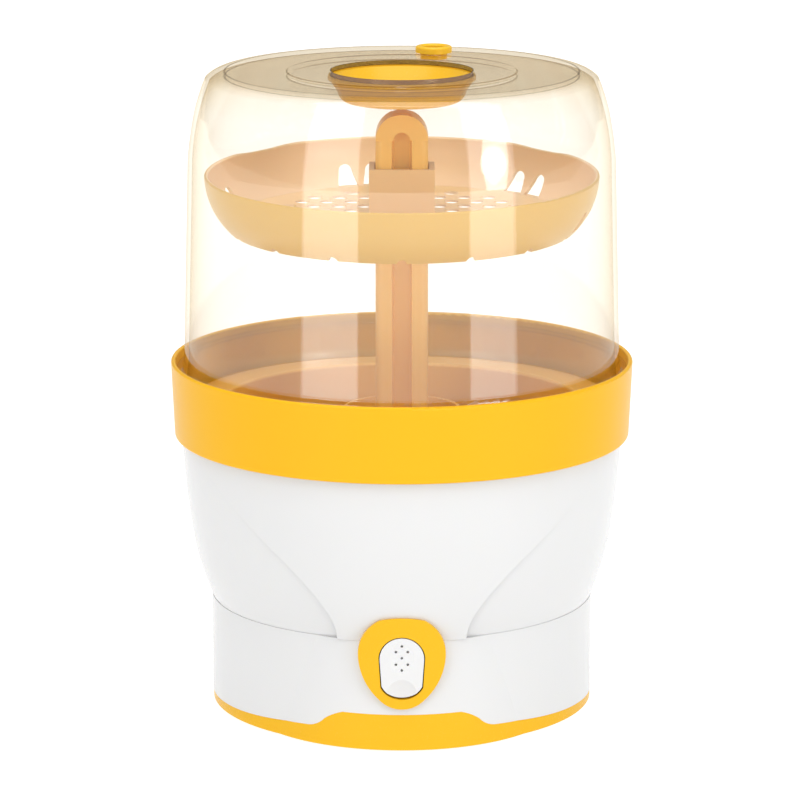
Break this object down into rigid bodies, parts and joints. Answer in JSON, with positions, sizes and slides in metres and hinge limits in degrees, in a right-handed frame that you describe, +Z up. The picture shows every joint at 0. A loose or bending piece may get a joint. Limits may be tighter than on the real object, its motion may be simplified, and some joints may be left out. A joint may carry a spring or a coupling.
{
  "type": "bottle sterilizer",
  "caption": "Round electric steam sterilizer for feeding bottles: flared housing with a rocking key, yellow rim, lift-out rack and column, upper tray and clear tall cover with a sunk grip.",
  "frame": {"origin": "centre of the bounding box on the surface the object stands on, on the axis of the housing", "axes": "+Z up along the round body's axis, front (the key) towards -Y, +X to the right seen from the front"},
  "size_m": [0.256, 0.256, 0.3576],
  "materials": {
    "white_housing": "gloss",
    "yellow_plastic": "gloss",
    "insert_plastic": "satin",
    "clear_amber": "clear gloss",
    "key_plastic": "satin",
    "dark_rubber": "matt",
    "seal_rubber": "matt",
    "plate_steel": "brushed",
    "spreader_metal": "satin",
    "screw_steel": "zinc",
    "board": "solder mask",
    "black_plastic": "matt",
    "blue_plastic": "matt",
    "white_plastic": "matt",
    "lamp_lens": "diffused",
    "wire_brown": "satin",
    "wire_blue": "satin",
    "wire_earth": "satin"
  },
  "bodies": {
    "base": {"base_shell": "white_housing", "bottom_cover": "yellow_plastic", "rubber_feet": "dark_rubber", "bottom_screws": "screw_steel", "button_bezel": "yellow_plastic", "pivot_pin": "screw_steel", "rim_ring": "yellow_plastic", "water_basin": "yellow_plastic", "plate_gasket": "seal_rubber", "heating_plate": "plate_steel", "plate_clamp_ring": "screw_steel", "plate_screws": "screw_steel", "heat_spreader": "spreader_metal", "heating_element": "plate_steel", "thermostat": "black_plastic", "thermal_fuse": "spreader_metal", "board_carrier": "white_plastic", "control_board": "board", "relay": "blue_plastic", "capacitor": "black_plastic", "micro_switch": "black_plastic", "indicator_led": "lamp_lens", "return_spring": "screw_steel", "cord_gland": "black_plastic", "cord_clamp": "white_plastic", "clamp_screws": "screw_steel", "terminal_block": "white_plastic", "live_lead": "wire_brown", "neutral_lead": "wire_blue", "earth_lead": "wire_earth"},
    "key": {"power_key": "key_plastic"},
    "plunger": {"switch_plunger": "white_plastic"},
    "rack": {"rack_basket": "insert_plastic", "drain_grid": "insert_plastic", "bottle_cradle": "insert_plastic", "centre_column": "insert_plastic", "column_screw": "screw_steel"},
    "tray": {"accessory_tray": "insert_plastic", "tray_floor": "insert_plastic", "tray_sleeve": "insert_plastic"},
    "dome": {"dome_cover": "clear_amber", "grip_cup": "yellow_plastic", "grip_seal": "seal_rubber", "steam_vent": "yellow_plastic"}
  },
  "joints": [
    {"name": "rack_lift", "type": "slide", "parent": "base", "child": "rack", "axis": [0, 0, 1], "range_m": [0, 0.12]},
    {"name": "tray_lift", "type": "slide", "parent": "rack", "child": "tray", "axis": [0, 0, 1], "range_m": [0, 0.1]},
    {"name": "dome_lift", "type": "slide", "parent": "tray", "child": "dome", "axis": [0, 0, 1], "range_m": [0, 0.2]},
    {"name": "key_rock", "type": "hinge", "parent": "base", "child": "key", "pos_m": [0, -0.1032, 0.0585], "axis": [1, 0, 0], "range_deg": [0, 3.5], "stiffness_Nm_per_rad": 0.3, "springref_deg": -2.86, "deforming": ["return_spring"]},
    {"name": "plunger_press", "type": "slide", "parent": "base", "child": "plunger", "axis": [0, 1, 0], "range_m": [0, 0.0016]}
  ],
  "couplings": [
    {"joint": "plunger_press", "follows": "key_rock", "m_per_rad": 0.0245}
  ]
}
